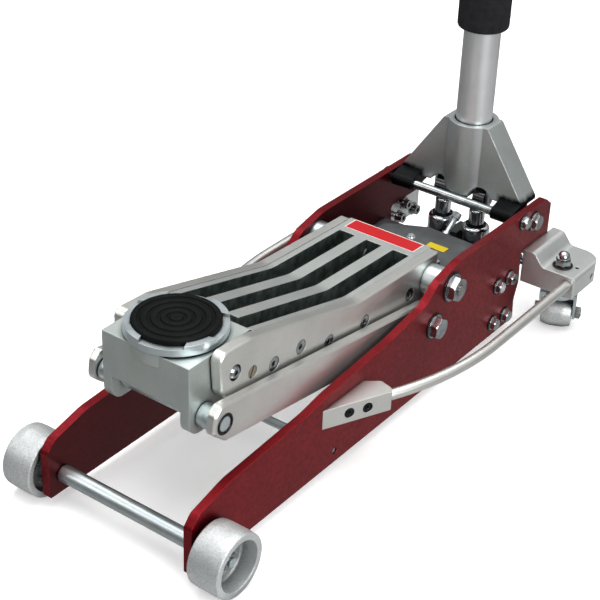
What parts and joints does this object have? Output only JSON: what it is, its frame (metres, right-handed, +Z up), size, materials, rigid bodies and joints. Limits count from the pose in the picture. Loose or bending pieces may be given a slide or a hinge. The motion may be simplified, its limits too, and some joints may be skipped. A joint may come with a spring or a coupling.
{
  "type": "car jack",
  "caption": "Low trolley jack: side plates with wheels, dog-leg lift arm with a turning saddle kept level by lower links, hydraulic unit, swivel casters and pump handle.",
  "frame": {"origin": "centre of the footprint, on the floor under the wheels", "axes": "+Z up along the handle, +Y towards the handle end, +X across the jack to its right"},
  "size_m": [0.35, 0.729, 1.245],
  "materials": {
    "red_anodised": "dark red satin anodising, bright along the cut edges",
    "cast_aluminium": "satin cast aluminium",
    "machined_aluminium": "fine brushed, bevelled edges",
    "zinc_steel": "bright zinc plating with a cool tint",
    "bright_steel": "polished chromed steel",
    "unit_paint": "dark grey enamel",
    "dark_steel": "black oxide",
    "pad_rubber": "moulded black rubber",
    "sleeve_foam": "closed-cell black foam",
    "handle_tube": "satin drawn tube"
  },
  "bodies": {
    "chassis": {"side_plate_left": "red_anodised", "side_plate_right": "red_anodised", "front_axle": "zinc_steel", "front_axle_fasteners": "zinc_steel", "cross_rod": "dark_steel", "wing_bracket_left": "cast_aluminium", "wing_bracket_right": "cast_aluminium", "wing_bolts": "bright_steel", "side_rod_left": "machined_aluminium", "side_rod_right": "machined_aluminium", "rod_clamp_left": "machined_aluminium", "rod_clamp_right": "machined_aluminium", "rod_clamp_screws": "bright_steel", "arm_pivot_shaft": "zinc_steel", "arm_pivot_bolts": "bright_steel", "arm_spacers": "zinc_steel", "link_pivot_bolts": "bright_steel", "pump_block": "unit_paint", "oil_tank": "unit_paint", "ram_cylinder": "unit_paint", "block_bolts": "bright_steel", "unit_fittings": "bright_steel", "yoke_shaft": "bright_steel", "yoke_shaft_nuts": "bright_steel", "frame_bolts": "bright_steel", "caster_kingpins": "zinc_steel", "caster_nuts": "bright_steel"},
    "lift_arm": {"arm_casting": "cast_aluminium", "arm_plate_left": "machined_aluminium", "arm_plate_right": "machined_aluminium", "arm_screws": "bright_steel", "arm_dowels": "zinc_steel", "arm_tip_bolts": "bright_steel", "push_roller": "zinc_steel"},
    "lower_link_left": {"lower_link_left": "machined_aluminium"},
    "lower_link_right": {"lower_link_right": "machined_aluminium"},
    "saddle_carrier": {"saddle_bracket": "cast_aluminium", "link_pin": "zinc_steel", "link_spacer_left": "zinc_steel", "link_spacer_right": "zinc_steel"},
    "saddle": {"saddle_cup": "zinc_steel", "saddle_pad": "pad_rubber"},
    "front_wheel_left": {"front_wheel_left": "cast_aluminium"},
    "front_wheel_right": {"front_wheel_right": "cast_aluminium"},
    "caster_left": {"caster_fork_left": "zinc_steel", "caster_axle_left": "bright_steel"},
    "caster_right": {"caster_fork_right": "zinc_steel", "caster_axle_right": "bright_steel"},
    "caster_wheel_left": {"caster_wheel_left": "cast_aluminium"},
    "caster_wheel_right": {"caster_wheel_right": "cast_aluminium"},
    "handle_socket": {"handle_yoke": "cast_aluminium", "pump_rollers": "dark_steel"},
    "handle": {"handle_lower_tube": "handle_tube", "handle_upper_tube": "handle_tube", "foam_sleeve": "sleeve_foam", "handle_grip": "pad_rubber"},
    "pump_plunger_left": {"pump_plunger_left": "bright_steel"},
    "pump_plunger_right": {"pump_plunger_right": "bright_steel"},
    "ram": {"ram_rod": "bright_steel"},
    "release_valve": {"release_shaft": "zinc_steel"}
  },
  "joints": [
    {"name": "lift_arm_pivot", "type": "hinge", "parent": "chassis", "child": "lift_arm", "pos_m": [0, 0.115, 0.133], "axis": [-1, 0, 0], "range_deg": [-18, 44]},
    {"name": "saddle_level", "type": "hinge", "parent": "lift_arm", "child": "saddle_carrier", "pos_m": [0, -0.2445, 0.187], "axis": [-1, 0, 0], "range_deg": [-44, 18]},
    {"name": "saddle_turn", "type": "hinge", "parent": "saddle_carrier", "child": "saddle", "pos_m": [0, -0.2512, 0.2128], "axis": [0, 0, 1], "continuous": true},
    {"name": "ram_slide", "type": "slide", "parent": "chassis", "child": "ram", "axis": [0, -1, 0], "range_m": [-0.0137, 0.0333]},
    {"name": "handle_pump", "type": "hinge", "parent": "chassis", "child": "handle_socket", "pos_m": [0, 0.2795, 0.15], "axis": [-1, 0, 0], "range_deg": [0, 50]},
    {"name": "handle_twist", "type": "hinge", "parent": "handle_socket", "child": "handle", "pos_m": [0, 0.3125, 0.248], "axis": [0, 0, 1], "range_deg": [0, 150]},
    {"name": "release_turn", "type": "hinge", "parent": "chassis", "child": "release_valve", "pos_m": [0, 0.2595, 0.0945], "axis": [0, 0.8096, 0.587], "range_deg": [0, 150]},
    {"name": "lower_link_pivot_left", "type": "hinge", "parent": "chassis", "child": "lower_link_left", "pos_m": [-0.079, 0.0825, 0.0955], "axis": [-1, 0, 0], "range_deg": [-18, 44]},
    {"name": "front_wheel_spin_left", "type": "hinge", "parent": "chassis", "child": "front_wheel_left", "pos_m": [-0.12605, -0.3285, 0.036], "axis": [1, 0, 0], "continuous": true},
    {"name": "caster_swivel_left", "type": "hinge", "parent": "chassis", "child": "caster_left", "pos_m": [-0.146, 0.3105, 0.057], "axis": [0, 0, 1], "continuous": true},
    {"name": "caster_wheel_spin_left", "type": "hinge", "parent": "caster_left", "child": "caster_wheel_left", "pos_m": [-0.1415, 0.32163, 0.021], "axis": [0.9272, -0.3746, 0], "continuous": true},
    {"name": "pump_stroke_left", "type": "slide", "parent": "chassis", "child": "pump_plunger_left", "axis": [0, 0, -1], "range_m": [0, 0.0215]},
    {"name": "lower_link_pivot_right", "type": "hinge", "parent": "chassis", "child": "lower_link_right", "pos_m": [0.079, 0.0825, 0.0955], "axis": [-1, 0, 0], "range_deg": [-18, 44]},
    {"name": "front_wheel_spin_right", "type": "hinge", "parent": "chassis", "child": "front_wheel_right", "pos_m": [0.12605, -0.3285, 0.036], "axis": [1, 0, 0], "continuous": true},
    {"name": "caster_swivel_right", "type": "hinge", "parent": "chassis", "child": "caster_right", "pos_m": [0.146, 0.3105, 0.057], "axis": [0, 0, 1], "continuous": true},
    {"name": "caster_wheel_spin_right", "type": "hinge", "parent": "caster_right", "child": "caster_wheel_right", "pos_m": [0.1415, 0.32163, 0.021], "axis": [0.9272, 0.3746, 0], "continuous": true},
    {"name": "pump_stroke_right", "type": "slide", "parent": "chassis", "child": "pump_plunger_right", "axis": [0, 0, -1], "range_m": [0, 0.0215]}
  ],
  "couplings": [
    {"joint": "saddle_level", "follows": "lift_arm_pivot", "ratio": -1},
    {"joint": "ram_slide", "follows": "lift_arm_pivot", "m_per_rad": 0.043},
    {"joint": "release_turn", "follows": "handle_twist", "ratio": 1},
    {"joint": "lower_link_pivot_left", "follows": "lift_arm_pivot", "ratio": 1},
    {"joint": "pump_stroke_left", "follows": "handle_pump", "m_per_rad": 0.0242},
    {"joint": "lower_link_pivot_right", "follows": "lift_arm_pivot", "ratio": 1},
    {"joint": "pump_stroke_right", "follows": "handle_pump", "m_per_rad": 0.0242}
  ]
}
